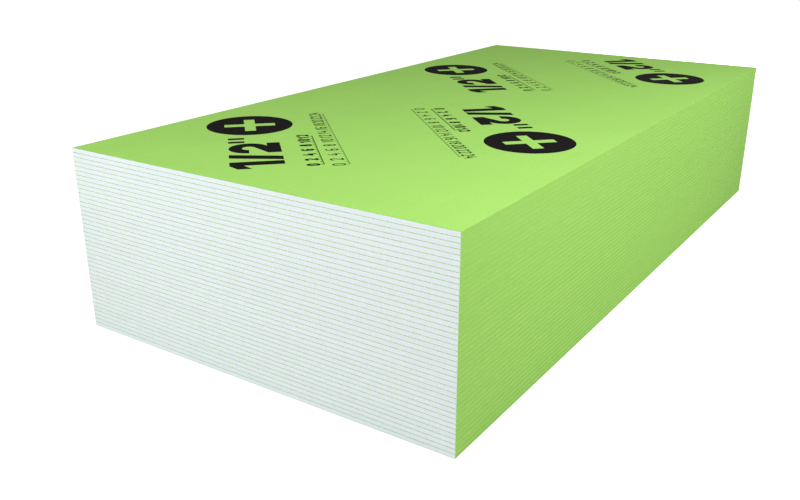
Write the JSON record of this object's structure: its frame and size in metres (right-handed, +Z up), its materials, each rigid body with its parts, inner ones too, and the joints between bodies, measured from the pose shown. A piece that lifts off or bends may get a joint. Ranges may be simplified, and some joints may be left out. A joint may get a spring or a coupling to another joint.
{
  "type": "stack of drywall sheets",
  "caption": "Squared flat stack of rectangular drywall sheets, face up: white gypsum cores between green facing mats that wrap the long edges, for lining or sheathing walls.",
  "frame": {"origin": "middle of the stack's underside, on the floor", "axes": "+Z up, +Y along the sheets towards the far cut end, +X across the sheets towards the right-hand wrapped edges"},
  "size_m": [1.2192, 2.4384, 0.5334],
  "materials": {
    "gypsum_core": "matt, chalky, saw cut",
    "facing_mat": "matt coated glass-fibre mat, green",
    "print_ink": "matt black roller print"
  },
  "bodies": {
    "root": {"gypsum_core_01": "gypsum_core", "gypsum_core_02": "gypsum_core", "gypsum_core_03": "gypsum_core", "gypsum_core_04": "gypsum_core", "gypsum_core_05": "gypsum_core", "gypsum_core_06": "gypsum_core", "gypsum_core_07": "gypsum_core", "gypsum_core_08": "gypsum_core", "gypsum_core_09": "gypsum_core", "gypsum_core_10": "gypsum_core", "gypsum_core_11": "gypsum_core", "gypsum_core_12": "gypsum_core", "gypsum_core_13": "gypsum_core", "gypsum_core_14": "gypsum_core", "gypsum_core_15": "gypsum_core", "gypsum_core_16": "gypsum_core", "gypsum_core_17": "gypsum_core", "gypsum_core_18": "gypsum_core", "gypsum_core_19": "gypsum_core", "gypsum_core_20": "gypsum_core", "gypsum_core_21": "gypsum_core", "gypsum_core_22": "gypsum_core", "gypsum_core_23": "gypsum_core", "gypsum_core_24": "gypsum_core", "gypsum_core_25": "gypsum_core", "gypsum_core_26": "gypsum_core", "gypsum_core_27": "gypsum_core", "gypsum_core_28": "gypsum_core", "gypsum_core_29": "gypsum_core", "gypsum_core_30": "gypsum_core", "gypsum_core_31": "gypsum_core", "gypsum_core_32": "gypsum_core", "gypsum_core_33": "gypsum_core", "gypsum_core_34": "gypsum_core", "gypsum_core_35": "gypsum_core", "gypsum_core_36": "gypsum_core", "gypsum_core_37": "gypsum_core", "gypsum_core_38": "gypsum_core", "gypsum_core_39": "gypsum_core", "gypsum_core_40": "gypsum_core", "gypsum_core_41": "gypsum_core", "gypsum_core_42": "gypsum_core", "face_mats": "facing_mat", "back_mats": "facing_mat"}
  },
  "joints": []
}
